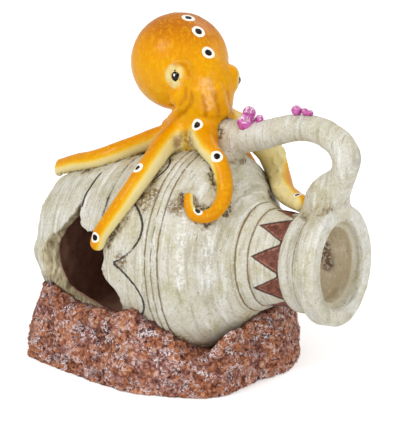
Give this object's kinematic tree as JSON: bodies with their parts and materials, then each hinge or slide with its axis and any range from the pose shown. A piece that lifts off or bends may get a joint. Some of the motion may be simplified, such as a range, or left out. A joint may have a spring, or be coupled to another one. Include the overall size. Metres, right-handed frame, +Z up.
{
  "type": "octopus figurine",
  "caption": "Painted resin ornament: an octopus perched on a broken amphora that lies in a rock base, with small coral clusters on the amphora's handle.",
  "frame": {"origin": "on the rock's flat underside, below the middle of the amphora's belly", "axes": "+X along the amphora towards its mouth, -Y towards the broken front of the belly, +Z up"},
  "size_m": [0.1475, 0.0982, 0.146],
  "materials": {
    "rock": "matt terracotta paint with white brushed ridges",
    "amphora": "satin off-white paint with olive and brown washes",
    "octopus": "glossy orange-yellow paint with cream sides",
    "eye": "gloss black paint",
    "coral": "magenta paint with white dabs"
  },
  "bodies": {
    "root": {"rock_base": "rock", "amphora_body": "amphora", "amphora_neck": "amphora", "amphora_handle": "amphora", "octopus_body": "octopus", "octopus_arm_left": "octopus", "octopus_arm_front_left": "octopus", "octopus_arm_front_curl": "octopus", "octopus_arm_right": "octopus", "octopus_arm_rear_right": "octopus", "octopus_arm_rear": "octopus", "octopus_arm_rear_left": "octopus", "octopus_arm_back_left": "octopus", "eye_left": "eye", "eye_right": "eye", "coral_cluster_near_crown": "coral", "coral_cluster_on_handle": "coral"}
  },
  "joints": []
}
